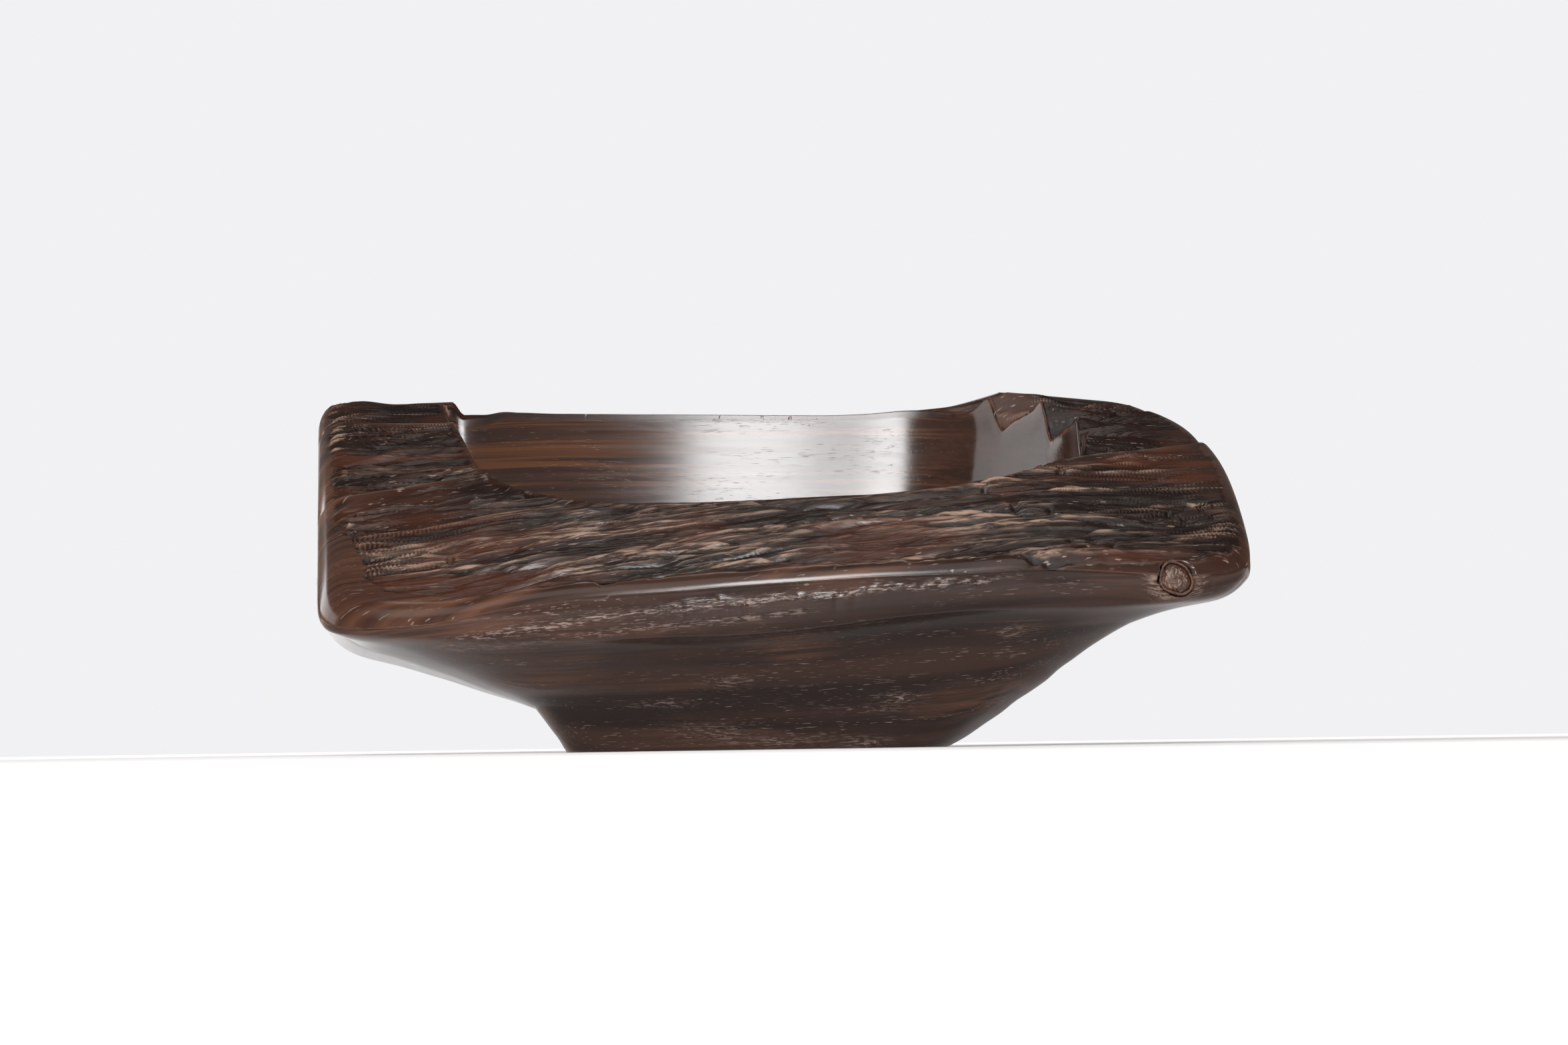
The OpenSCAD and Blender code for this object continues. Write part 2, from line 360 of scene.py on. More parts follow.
def under_share(a, t):
    """Share of the crease height that the underside has reached, t of the way out."""
    sweep = sind(90 * t) ** (1 + 0.35 * cosd(a))
    kinked = np.minimum(2.4 * t, 0.28 + 0.72 * t**0.9)
    return mixed(sweep, kinked, eased(0.2, 0.75, -cosd(a)))


# ---------------------------------------------------------------- weathering of the top

# Long ledges of the front strip, as (x, y) points, with their depth
LEDGES = (
    (((-230, -196), (-134, -170), (-70, -153), (0, -142), (75, -139), (150, -139)), 5.2),
    (((-175, -196), (-90, -187), (-10, -177), (50, -178), (130, -181)), 3.6),
    (((-60, -104), (20, -116), (95, -130), (170, -145), (235, -137), (300, -128)), 6.5),
    (((-240, -128), (-190, -121), (-120, -118), (-60, -122)), 3.4),
    (((60, -112), (120, -118), (190, -116), (280, -103)), 3.6),
    (((150, -170), (200, -167), (250, -158), (300, -150)), 2.6),
    (((-290, -22), (-240, -14), (-196, -12)), 3.2),
    (((-290, 8), (-240, 14), (-200, 16)), 3.0),
    (((-300, 34), (-250, 38), (-205, 38)), 2.6),
    (((205, -30), (260, -20), (310, -12)), 3.0),
)
# The straight ledges at the back of the two end blocks, worn smooth along their edges
BLOCK_LEDGES = (
    (((-312, 114), (-240, 112), (-196, 111)), 6.0),
    (((-312, 91), (-240, 88), (-196, 88)), 6.5),
    (((-306, 62), (-250, 58), (-192, 54)), 4.0),
    (((222, 52), (262, 58), (312, 63)), 3.5),
)
# Insect holes, as (x, y, radius)
HOLES = (
    (195, -173, 1.9), (208, -176, 2.3), (221, -177, 2.2), (151, -110, 1.7), (167, -133, 2.6),
    (189, -138, 1.6), (204, -90, 3.0), (-189, -150, 2.4), (-207, -142, 1.9), (262, -144, 1.6),
    (270, -150, 1.5), (284, -139, 1.6), (292, -136, 1.4), (275, -133, 1.3), (288, -148, 1.3),
)
# Patches of raised pale fibres, as (x, y), (half length, half width), strength
FANS = (
    ((-232, -132), (36, 9), 1.0),
    ((-212, -36), (34, 9), 0.9),
    ((275, -141), (30, 14), 0.9),
    ((-262, -20), (14, 16), 0.6),
    ((20, -152), (70, 8), 0.6),
    ((100, -113), (60, 5), 0.6),
)
# Patches worn smooth and red-brown
SMOOTH_PATCHES = (
    ((-212, -167), (34, 12), 1.0),
    ((-215, -103), (26, 12), 0.75),
    ((-60, -135), (44, 5), 0.7),
    ((-242, -52), (12, 9), 0.6),
)
TORN_PATCH = ((-160, -182), (17, 7))
PIT_DEPTH = 3.5
TORN_DEPTH = 1.4


def patches(x, y, spots):
    """The strongest of several soft patches, at each point."""
    return np.clip(sum(s * spot(x, y, place, size) for place, size, s in spots), 0, 1)


def run_along(x, points, ease_in, ease_out, skip=0):
    """1 along a line of points, easing in and out at its two ends."""
    first, last = points[0][0] + skip, points[-1][0]
    return window(first, first + ease_in, last - ease_out, last, x)


def grain_across(x, y):
    """How far across the grain a point is. The grain swings up to the right along the left half
    of the front strip, wanders a little, and parts around the insect holes."""
    strip = 1 - eased(-100, -50, y)
    drift = 0.09 * np.minimum(0, x - 40) * strip + 0.03 * x
    v = y - drift + 2.2 * noise(x / 95, y / 26, 11) + 0.5 * noise(x / 30, y / 9, 12)
    for hole_x, hole_y, radius in HOLES:
        v = v + 1.1 * (y - hole_y) * spot(x, y, (hole_x, hole_y), (5 * radius, 2.2 * radius))
    return v


def weathered(x, y, a):
    """1 on the weathered top, 0 on the polished ridge and ends."""
    outside = reach(a, BLOCK) - np.hypot(x, y)
    wander = 2.2 * noise(x / 13, y / 7, 21) + 1.2 * noise(x / 5, y / 3, 22)
    left_width = mixed(10, 31, eased(75, 165, -y))
    end_width = left_width * eased(0.55, 0.9, -cosd(a)) + 9 * eased(0.7, 0.95, cosd(a))
    end_width = end_width + 16 * bell(a + 32, 9)
    ends = eased(-1, 1.5, outside - end_width - wander)
    ridge_width = 4.5 - 6 * eased(120, 200, x) + 2 * bell(x + 200, 40)
    ridge = eased(-0.5, 1.5, y + FRONT_REACH - ridge_width - 0.8 * wander)
    back = eased(2, 8, REAR_REACH - y)
    return ends * ridge * back * (1 - 0.9 * polished_line(x, y))


def polished_line(x, y):
    """1 along the worn-smooth edges of the steps on the two end blocks."""
    ends = np.maximum(eased(170, 215, -x), eased(205, 235, x))
    lines = ends * bell(y - step_line(x) + 3.5, 4.5)
    for points, _ in BLOCK_LEDGES:
        run = run_along(x, points, 12, 12)
        lines = np.maximum(lines, run * bell(y - line_at(x, points) + 2.2, 3.0))
    return lines


def edge_lines(x, y):
    """The worn edges of the steps and ledges as thin lines, painted paler as wear and as a painted
    highlight, and the painted shade in the gaps behind them.
    """
    behind = y - step_line(x)
    ends = step_ends(x) * (1 - eased(272, 292, np.abs(x)))
    edge = ends * bell(behind + 1.0, 1.6)
    gap_shade = ends * eased(-0.3, 1.5, behind) * np.exp(-np.maximum(0, behind) / 26)
    for points, _ in BLOCK_LEDGES:
        run = run_along(x, points, 25, 12, skip=20)
        behind = y - line_at(x, points)
        edge = np.maximum(edge, run * bell(behind + 1.2, 1.3))
        shade = eased(-0.3, 1.5, behind) * np.exp(-np.maximum(0, behind) / 10)
        gap_shade = np.maximum(gap_shade, run * shade)
    return edge, gap_shade


def pits(x, y):
    """Insect holes, 1 in the middle of each."""
    return np.clip(
        sum(np.exp(-((((x - hx) / r) ** 2 + ((y - hy) / r) ** 2) ** 1.5)) for hx, hy, r in HOLES),
        0, 1,
    )


def fibrous(x, v):
    """How torn the fibres are, from 0 where wear has left them smooth to 1."""
    return eased(-0.45, 0.4, 0.8 * noise(x / 80, v / 12, 36) + 0.5 * noise(x / 34, v / 5, 37))


def fibres(x, y):
    """Rough height of the weathered fibres, in millimetres."""
    v = grain_across(x, y)
    torn = fibrous(x, v)
    waves = 1.0 * noise(x / 210, v / 18, 31)
    steps = 2.4 * terraces(x / 120, v / 12, 61) + 2.6 * terraces(x / 70, v / 5.6, 65)
    slivers = 2.4 * terraces(x / 40, v / 3.4, 71) + 0.5 * terraces(x / 22, v / 2.2, 45)
    cracks = (1 - np.abs(noise(x / 110, v / 5.2, 33))) ** 9
    fine_cracks = (1 - np.abs(noise(x / 55, v / 2.4, 34))) ** 5
    fine = (slivers - 0.6 * fine_cracks) * (0.4 + 0.8 * torn)
    return waves + steps + fine - 3.0 * cracks - 2.1


def relief(x, y, a):
    """Height that the weathering adds to the top, and how weathered each point is."""
    worn = weathered(x, y, a)
    smooth = patches(x, y, SMOOTH_PATCHES)
    fan = patches(x, y, FANS)
    v = grain_across(x, y)
    height = fibres(x, y) * (1 - 0.85 * smooth) * (1 + 0.25 * fan) - 0.9
    height = height + 1.0 * fan * (terraces(x / 26, v / 2.7, 51) - 0.4)
    block = 0 * x
    for points, depth in BLOCK_LEDGES:
        run = run_along(x, points, 30, 20)
        block = block - depth * run * ledge(y, line_at(x, points), 1.5, 11)
    for points, depth in LEDGES:
        line = line_at(x, points) + 1.1 * noise(x / 24, x * 0, 61)
        run = run_along(x, points, 25, 35)
        height = height - depth * run * ledge(y, line, 1.6, 6.5)
    torn = spot(x, y, *TORN_PATCH) ** 2
    height = height - TORN_DEPTH * torn * (1 + 0.5 * noise((x + y) / 2.2, (x - y) / 9, 71))
    height = height - PIT_DEPTH * pits(x, y)
    from_rim = np.hypot(x, y) - rim_reach(a)
    near_rim = eased(mixed(8, 2.5, eased(150, 190, x)), 0.5, from_rim)
    at_end = (1 - 0.65 * eased(268, 300, x)) * (1 - 0.75 * eased(104, 124, y))
    at_end = at_end * (1 - 0.35 * eased(190, 215, -x) * eased(30, 60, y))
    return height * worn * at_end * (1 - 0.93 * near_rim) + block, worn * (1 - near_rim**2)


# ---------------------------------------------------------------- weathering of the other faces

# The two rows of torn flakes on the front face, as (x, z) points
FLAKE_LINE = ((-205, 64), (-140, 73), (-90, 80), (0, 89), (110, 98), (160, 101))
SECOND_FLAKES = ((-200, 62), (-130, 67), (-20, 76), (45, 83))
# Small rough spots on the front face and the underside, as (x, z), half sizes, strength
ROUGH_SPOTS = (
    ((159, 70), (9, 3), 0.8),
    ((157, 57), (7, 2), 0.6),
    ((92, 31), (13, 3), 0.8),
    ((70, 24), (24, 2), 0.5),
    ((-18, 43), (12, 3), 0.7),
    ((-30, 12), (20, 4), 0.7),
    ((-60, 30), (16, 2), 0.5),
    ((10, 5), (30, 3), 0.6),
    ((70, 3), (12, 4), 0.8),
)


# How far the waves of the underside and of the hollow's wall stand out
UNDER_WAVES = 1.2
WALL_WAVES = 0.06


def face_relief(x, z):
    """Height of the torn flakes and fine dents on the front face, in millimetres."""
    strip = window(-205, -185, 120, 175, x)
    width = 2.0 + 1.1 * noise(x / 23, x * 0, 82)
    flakes = splinters(x / 5.0, (z - 0.22 * x) / 1.4, 83)
    near = bell(z - line_at(x, FLAKE_LINE) + 1.5 * noise(x / 14, x * 0, 81), width)
    lower = 0.6 * window(-200, -180, 20, 50, x) * bell(z - line_at(x, SECOND_FLAKES), 1.8)
    spots = patches(x, z, ROUGH_SPOTS)
    beads = 0.8 * window(150, 172, 262, 276, x) * bell(z - 112, 2.2)
    patch = np.maximum(strip * near, np.maximum(np.maximum(lower, beads), spots))
    from_knot = np.hypot(x - KNOT_X, z - KNOT_Z)
    collar = 0.9 * bell(from_knot - 14, 4.5) * (1 + 0.5 * noise(x / 6, z / 5, 86))
    patch = np.maximum(patch, 0.45 * bell(from_knot - 15, 5) * (x > KNOT_X - 26))
    swell = collar + 0.35 * noise(x / 95, z / 14, 84) + 0.1 * noise(x / 26, z / 5, 85)
    return swell + 0.75 * patch * flakes, patch


def under_relief(x, z):
    """Soft waves that run along the underside, in millimetres."""
    return 1.3 * noise(x / 130, (z + 0.04 * x) / 17, 91) + 0.5 * noise(x / 60, z / 7, 92)


# ---------------------------------------------------------------- the surface as a grid of points


def directions():
    """Directions of the grid's columns, crowded towards the two ends."""
    u = 360 * np.arange(COLUMNS) / COLUMNS
    return u - SIDE_CROWDING * 90 / math.pi * sind(2 * u)


def shares(count):
    """count even steps that end at 1, as a column."""
    return (np.arange(count) + 1)[:, None] / count


def even_drops(count, power):
    """Shares of the hollow's depth that put rings at even steps down its wall."""
    turn = np.linspace(0, 90, 2000)
    out = 190 * cosd(turn).clip(0) ** (2 / power)
    down = sind(turn) ** (2 / power)
    length = np.concatenate([[0], np.cumsum(np.hypot(np.diff(out), 130 * np.diff(down)))])
    return np.interp(np.linspace(0, length[-1], count + 1)[1:-1], length, down)[:, None]


def hollow_wall(a, rim_r, rim_z):
    """Rings down the hollow. The wall is one smooth bowl, whatever the rim's height does."""
    x, y = rim_r * cosd(a), rim_r * sind(a)
    smooth_rim = slope_z(x, y) - back_cut(x, y)
    z = mixed(rim_z, FLOOR_H, even_drops(WALL_RINGS, WALL_POWER))
    drop = np.clip((smooth_rim - z) / (smooth_rim - FLOOR_H), 0, 1)
    out = (1 - drop**WALL_POWER) ** (1 / WALL_POWER)
    return rim_r * out, z


def surface():
    """Points of the block as rings by columns, with what each ring is part of."""
    a = directions()[None, :]
    foot_r, belly_r, block_r = (reach(a, outline) for outline in (FOOT, BELLY, BLOCK))
    rim_r = rim_reach(a)
    crease = crease_z(belly_r * cosd(a), belly_r * sind(a))
    edge = EDGE_ROUND + LEFT_ROUND * eased(0.6, 0.95, -cosd(a))
    corner, spread = CORNER_FACES
    edge = edge + CORNER_ROUND * bell(np.mod(a, 360) - corner, spread)
    brow = top_z(block_r * cosd(a), block_r * sind(a)) - edge
    lip = LIP_ROUND + LIP_ROUND_LEFT * eased(0.3, 0.9, -cosd(a))
    lip = np.minimum(brow - crease, lip + LIP_ROUND_RIGHT * eased(0.3, 0.9, cosd(a)))

    def on_top(r, sink):
        """Heights of the weathered top at distance r, lowered by sink, and how worn it is."""
        x, y = r * cosd(a), r * sind(a)
        raised, worn = relief(x, y, a)
        return top_z(x, y) + raised - sink, worn

    stretches = []
    t = np.linspace(0, 1, FOOT_RINGS + 1)[1:-1, None]
    stretches.append(("foot", foot_r * t, 0 * foot_r * t, None))
    t = np.concatenate([[[0]], shares(UNDER_RINGS)])
    stretches.append(("under", mixed(foot_r, belly_r, t), crease * under_share(a, t), None))
    turn = 90 * shares(LIP_RINGS)
    stretches.append(
        ("face", mixed(belly_r, block_r, sind(turn)), crease + lip * (1 - cosd(turn)), None)
    )
    t = shares(FACE_RINGS)
    stretches.append(("face", block_r + 0 * t, mixed(crease + lip, brow, t), None))
    turn = 90 * shares(EDGE_RINGS)
    r = block_r - edge * (1 - cosd(turn))
    z, worn = on_top(r, edge * (1 - sind(turn)))
    stretches.append(("edge", r, z, worn))
    r = mixed(block_r - edge, rim_r, shares(TOP_RINGS))
    z, worn = on_top(r, 0)
    stretches.append(("top", r, z, worn))
    r, z = hollow_wall(a, rim_r, z[-1:])
    stretches.append(("wall", r, z, None))

    parts, r_rows, z_rows, worn_rows = [], [], [], []
    for name, r, z, worn in stretches:
        r, z = np.broadcast_arrays(r, z)
        parts += [name] * len(r)
        r_rows.append(r)
        z_rows.append(z)
        worn_rows.append(np.zeros_like(r) if worn is None else np.broadcast_to(worn, r.shape))
    r, z, worn = (np.concatenate(rows) for rows in (r_rows, z_rows, worn_rows))
    return np.stack([r * cosd(a), r * sind(a), z], 2), np.array(parts), worn, a


def grid_normals(points):
    """Outward normals of a grid of points that closes along its columns."""
    along = np.gradient(points, axis=0)
    around = np.roll(points, -1, 1) - np.roll(points, 1, 1)
    normal = np.cross(around, along)
    return normal / np.maximum(1e-9, np.linalg.norm(normal, axis=2, keepdims=True))


def softened(points, ring, spread, times, share):
    """Rounds the corner at one ring, by averaging the rings next to it. share is how much of
    that each column gets."""
    for _ in range(times):
        near = points[ring - spread - 1 : ring + spread + 2]
        mean = (near[:-2] + 2 * near[1:-1] + near[2:]) / 4
        near[1:-1] = mixed(near[1:-1], mean, share[..., None])
    return points


def knot_outline(turn):
    """How far the knot's outline bulges out in each direction around its axis."""
    return 1 + 0.14 * noise(1.2 * cosd(turn) + 3.5, 1.2 * sind(turn) + 7.5, 141)


def knot_axis():
    """Direction out of the knot's face and the face's middle, in hollow millimetres."""
    axis = np.array([0, -cosd(KNOT_RISE), sind(KNOT_RISE)])
    face = np.array([KNOT_X, 0.5 - FRONT_REACH, KNOT_Z])
    return axis, face


def socket(points):
    """Pushes the surface in where the branch knot sits, to make its socket. Also gives how far
    each point is from the knot's axis."""
    axis, face = knot_axis()
    offset = points - face
    depth = offset @ axis
    flat = offset - depth[..., None] * axis
    turn = np.degrees(np.arctan2(flat @ np.cross(axis, [1.0, 0, 0]), flat[..., 0]))
    out = np.linalg.norm(flat, axis=2) / knot_outline(turn)
    radius = KNOT_D / 2 + BARK_T
    near = (out < radius) & (np.abs(depth) < 2 * radius)
    sink = KNOT_LEN * ramp(radius, 0.8 * radius, out)
    spread = np.where(out > 0.8 * radius, radius, out / 0.8)
    moved = face + axis * (depth - sink)[..., None]
    moved = moved + flat * (spread / np.maximum(out, 1e-6))[..., None]
    return np.where(near[..., None], moved, points), out


def block_middle():
    """Middle of the block's box in hollow millimetres, which is the frame's origin."""
    a = directions()
    r = reach(a, BLOCK)
    x, y = r * cosd(a), r * sind(a)
    return np.array([(x.min() + x.max()) / 2, (y.min() + y.max()) / 2, 0])


def crests(height, reach_rings):
    """How far each point stands out from the rings before and after it, in millimetres."""
    total = sum(np.roll(height, k, 0) for k in range(-reach_rings, reach_rings + 1))
    return height - total / (2 * reach_rings + 1)


def mesh_object(name, points, faces):
    """A smooth-shaded mesh object from metre points and faces."""
    mesh = bpy.data.meshes.new(name)
    mesh.from_pydata(points, [], faces)
    mesh.update()
    mesh.shade_smooth()
    made = bpy.data.objects.new(name, mesh)
    bpy.context.scene.collection.objects.link(made)
    return made


def give_grain(mesh, x, across, depth):
    """Stores where each vertex lies in the log: along the grain, across it, and below the bark."""
    layer = mesh.attributes.new("grain", "FLOAT_VECTOR", "POINT")
    layer.data.foreach_set("vector", np.stack([x, across, depth], 1).astype(np.float32).ravel())


def give(mesh, name, values):
    """Stores one number for each vertex, which the material reads."""
    layer = mesh.attributes.new(name, "FLOAT", "POINT")
    layer.data.foreach_set("value", np.asarray(values, np.float32).ravel())


def grid_faces(rings, columns, first, last):
    """Faces of a closed grid, with a fan to the first and to the last point."""
    ring = np.arange(rings - 1)[:, None] * columns
    here = np.arange(columns)[None, :]
    after = (here + 1) % columns
    quads = np.stack(
        [ring + here, ring + after, ring + columns + after, ring + columns + here], 2
    ).reshape(-1, 4)
    top = (rings - 1) * columns
    faces = quads.tolist()
    faces += [[first, (i + 1) % columns, i] for i in range(columns)]
    faces += [[top + i, top + (i + 1) % columns, last] for i in range(columns)]
    return faces


def on_rings(parts, *names):
    """True on the rings that belong to the named parts of the surface, as a column."""
    return np.isin(parts, names)[:, None]


def pushed_out(points, parts, normal):
    """Moves the points out by the fine relief of the front face, the underside and the hollow.
    Also gives how much each point is part of the front face, and how torn it is there."""
    x, y, z = points[..., 0], points[..., 1], points[..., 2]
    face_part = on_rings(parts, "face", "under") * eased(0.25, 0.6, -normal[..., 1])
    flake_height, flake = face_relief(x, z)
    rows = np.arange(len(parts))
    under = rows[parts == "under"]
    ends_fade = np.clip((rows - under[0]) / 8, 0, 1) * np.clip((under[-1] - rows) / 8, 0, 1)
    under_fade = UNDER_WAVES * on_rings(parts, "under") * ends_fade[:, None]
    wall_fade = np.clip((rows - rows[parts == "wall"][0]) / 12, 0, 1)[:, None]
    wall_fade = wall_fade * on_rings(parts, "wall")
    push = face_part * flake_height + under_fade * under_relief(x, z)
    push = push + wall_fade * WALL_WAVES * noise(x / 150, (y + 1.3 * z) / 18, 101)
    return points + normal * push[..., None], face_part, flake


def block_marks(x, y, parts, worn, a, face_part, flake, knot_out):
    """The numbers that the timber's material reads at each point, by name."""
    top = on_rings(parts, "top", "edge")
    wall = on_rings(parts, "wall")
    height = np.where(worn > 0, relief(x, y, a)[0], 0)
    line = crests(height, 3) + 0.5 * crests(height, 9)
    edge, gap_shade = edge_lines(x, y)
    around = 0.45 + 0.55 * eased(10, -8, x - KNOT_X)
    return {
        # crest: the fibres' crests, which the material paints pale as a painted highlight
        "crest": np.clip((line - 0.24) / 0.34, 0, 1) * worn,
        # crack: the valleys and cracks, which the material paints near-black as painted shade
        "crack_shade": np.clip((-0.05 - line) / 0.35, 0, 1) * worn,
        # edge: the steps' edges, painted paler: partly wear, partly a painted highlight
        "edge": edge * top,
        # gap: the strip behind each step and ledge, painted dark as painted shade
        "gap_shade": gap_shade * top,
        "torn": worn * top * fibrous(x, grain_across(x, y)),
        "worn": worn * top,
        "height": np.clip(0.5 + height / 7, 0, 1),
        "pale": worn * patches(x, y, FANS),
        "ruddy": patches(x, y, SMOOTH_PATCHES) * worn,
        "flake": flake * face_part,
        "hollow": wall * 1.0,
        "amber": wall * (1 - 0.9 * eased(120, 170, x)),
        # under: the underside, which the material paints a little darker as painted shade
        "under": on_rings(parts, "under", "foot") * 1.0,
        "swirl": face_part * around * window(8, 11, 13, 19, knot_out),
    }


def make_body(middle):
    """The whole carved block, with its weathering as real shape."""
    points, parts, worn, a = surface()
    x, y, z = points[..., 0], points[..., 1], points[..., 2]
    points, face_part, flake = pushed_out(points, parts, grid_normals(points))
    rows = np.arange(len(parts))
    everywhere = np.ones_like(a)
    points = softened(points, rows[parts == "face"][0], 18, 60, everywhere)
    points = softened(points, rows[parts == "wall"][0], 3, 6, everywhere)
    points, knot_out = socket(points)

    flat = np.concatenate([points.reshape(-1, 3), [[0, 0, 0], [0, 0, FLOOR_H]]])
    faces = grid_faces(len(points), COLUMNS, len(flat) - 2, len(flat) - 1)
    body = mesh_object("carved_block", (flat - middle) * MM, faces)

    def whole(values):
        """One value for each vertex, with the two end points' values last."""
        values = np.broadcast_to(values, x.shape).ravel()
        return np.concatenate([values, values[:1], values[-1:]])

    bark_z = slope_z(x, np.clip(y, -FRONT_REACH, REAR_REACH))
    depth = np.where(on_rings(parts, "top", "edge"), 0, z - bark_z)
    across = mixed(y, grain_across(x, y), eased(40, 5, -depth))
    depth = depth - 0.92 * (z - KNOT_Z) * face_part * bell(knot_out, 19)
    give_grain(body.data, *(whole(values) * MM for values in (x, across, depth)))
    marks = block_marks(x, y, parts, worn, a, face_part, flake, knot_out)
    for name, values in marks.items():
        give(body.data, name, whole(values))
    return body


# ---------------------------------------------------------------- materials


def add(tree, kind, inputs=None, **settings):
    """A new node. Each input is a value or another node's output."""
    made = tree.nodes.new(kind)
    for name, value in settings.items():
        setattr(made, name, value)
    for name, value in (inputs or {}).items():
        if isinstance(value, bpy.types.NodeSocket):
            tree.links.new(value, made.inputs[name])
        else:
            made.inputs[name].default_value = value
    return made


def stored(tree, name):
    """A number stored on the mesh."""
    return add(tree, "ShaderNodeAttribute", attribute_name=name).outputs["Fac"]


def maths(tree, operation, *values):
    """Result of a sum on numbers or outputs."""
    return add(tree, "ShaderNodeMath", dict(enumerate(values)), operation=operation).outputs[0]


def times(tree, a, b):
    """Product of two numbers or outputs."""
    return maths(tree, "MULTIPLY", a, b)


def between(tree, value, low, high):
    """Eased share from 0 at low to 1 at high."""
    return add(
        tree, "ShaderNodeMapRange", {0: value, 1: low, 2: high},
        interpolation_type="SMOOTHSTEP",
    ).outputs[0]


def blended(tree, share, a, b):
    """Mix of two colours."""
    made = add(tree, "ShaderNodeMix", {0: share, 6: a, 7: b}, data_type="RGBA")
    return made.outputs[2]


def painted(tree, base, tint, mask, strength):
    """A colour laid over the base where the mask is, up to a strength."""
    return blended(tree, times(tree, mask, strength), base, tint)


def stretched(tree, per_metre):
    """Coordinates in the log, with their own scale along and across the grain."""
    place = add(tree, "ShaderNodeAttribute", attribute_name="grain").outputs["Vector"]
    return add(tree, "ShaderNodeMapping", {"Vector": place, "Scale": per_metre}).outputs[0]


def noisy(tree, per_metre, detail, distortion, offset):
    """Noise stretched along the axes."""
    where = stretched(tree, per_metre)
    if offset:
        where = add(
            tree, "ShaderNodeVectorMath", {0: where, 1: (offset, offset, offset)}
        ).outputs[0]
    made = add(
        tree, "ShaderNodeTexNoise",
        {"Vector": where, "Scale": 1.0, "Detail": detail, "Distortion": distortion},
    )
    return made.outputs["Fac"]


def colour(r, g, b):
    """An opaque colour."""
    return (r, g, b, 1.0)


BLACK_BROWN = colour(0.014, 0.0062, 0.0044)
DARK_BROWN = colour(0.040, 0.0175, 0.0115)
MID_BROWN = colour(0.105, 0.046, 0.027)
ORANGE_BROWN = colour(0.145, 0.055, 0.02)
RED_BROWN = colour(0.105, 0.028, 0.011)
# Pale fibres, also painted on the weathered top's crests as a painted highlight
PALE_FIBRE_AND_GLINT = colour(0.30, 0.20, 0.15)
PORE_WAX = colour(0.33, 0.24, 0.20)
# Paler worn edges, which also serve as a painted highlight
WORN_EDGE_HIGHLIGHT = colour(0.42, 0.33, 0.28)
# Near-black painted shade for the valleys, cracks and gaps of the weathered top
PAINTED_SHADE_BLACK = colour(0.005, 0.0022, 0.0015)
HOLLOW_BROWN = colour(0.032, 0.0135, 0.0085)
BARK_BROWN = colour(0.012, 0.007, 0.005)

# Patterns in the wood: how often each repeats per metre along, across and into the log, then
# its detail, its distortion, and an offset that makes it differ from the others
BANDS = ((2.2, 38, 38), 4.0, 0.6, 0.0)
STREAKS = ((9, 260, 260), 3.0, 0.3, 3.1)
CLOUDS = ((7, 16, 16), 3.0, 0.2, 7.7)
YEAR_RINGS = ((3.0, 40, 210), 4.0, 0.3, 12.3)
END_CLOUDS = ((25, 30, 22), 4.0, 1.5, 21.0)
FINE_FIBRES = ((70, 900, 900), 2.0, 0.4, 31.0)
PORES = ((110, 1500, 1500), 1.0, 0.2, 41.0)
PORE_ROWS = ((6, 70, 70), 2.0, 0.0, 43.0)
SHREDS = ((160, 700, 700), 2.0, 0.5, 47.0)
ROUGH_GRAIN = ((50, 560, 560), 4.0, 0.3, 51.0)
KNOT_BLOTCHES = ((300, 300, 300), 4.0, 2.0, 5.0)
KNOT_FIBRES = ((700, 700, 260), 3.0, 1.0, 9.0)
BARK_BLOTCHES = ((400, 400, 400), 4.0, 1.0, 2.0)

# Roughness of the surfaces, and the heights of their bumps in metres
POLISHED = 0.18
KNOT_ROUGHNESS = 0.36
BARK_ROUGHNESS = 0.6
FIBRE_BUMP = 0.0016
PORE_BUMP = 0.0004
ROUGH_BUMP = 0.0008
TIMBER_SPECULAR = 0.3


def new_material(name):
    """A new material, with its node tree and its shader."""
    material = bpy.data.materials.new(name)
    material.use_nodes = True
    tree = material.node_tree
    shader = tree.nodes["Principled BSDF"]
    return material, tree, shader


def polished_colour(tree, hollow, streaks, clouds):
    """Colour of the sound wood: bands, warm streaks, amber and orange in places, and a little
    painted shade underneath.
    """
    normal = add(tree, "ShaderNodeNewGeometry").outputs["Normal"]
    facing = add(tree, "ShaderNodeSeparateXYZ", {0: normal}).outputs[0]
    end = between(tree, maths(tree, "ABSOLUTE", facing), 0.45, 0.9)
    bands = noisy(tree, *BANDS)
    base = blended(tree, between(tree, bands, 0.36, 0.62), BLACK_BROWN, DARK_BROWN)
    warm = times(tree, between(tree, clouds, 0.42, 0.68), between(tree, streaks, 0.3, 0.7))
    base = blended(tree, warm, base, MID_BROWN)
    # Painted shade: the underside is painted a little darker
    base = painted(tree, base, BLACK_BROWN, stored(tree, "under"), 0.1)
    base = painted(tree, base, HOLLOW_BROWN, hollow, 0.7)
    rings = noisy(tree, *YEAR_RINGS)
    orange = times(tree, stored(tree, "amber"), between(tree, rings, 0.46, 0.64))
    base = painted(tree, base, ORANGE_BROWN, orange, 0.62)
    end_clouds = between(tree, noisy(tree, *END_CLOUDS), 0.42, 0.62)
    end_warm = times(tree, end, end_clouds)
    end_warm = times(tree, end_warm, maths(tree, "SUBTRACT", 1.0, hollow))
    return painted(tree, base, ORANGE_BROWN, end_warm, 0.8)


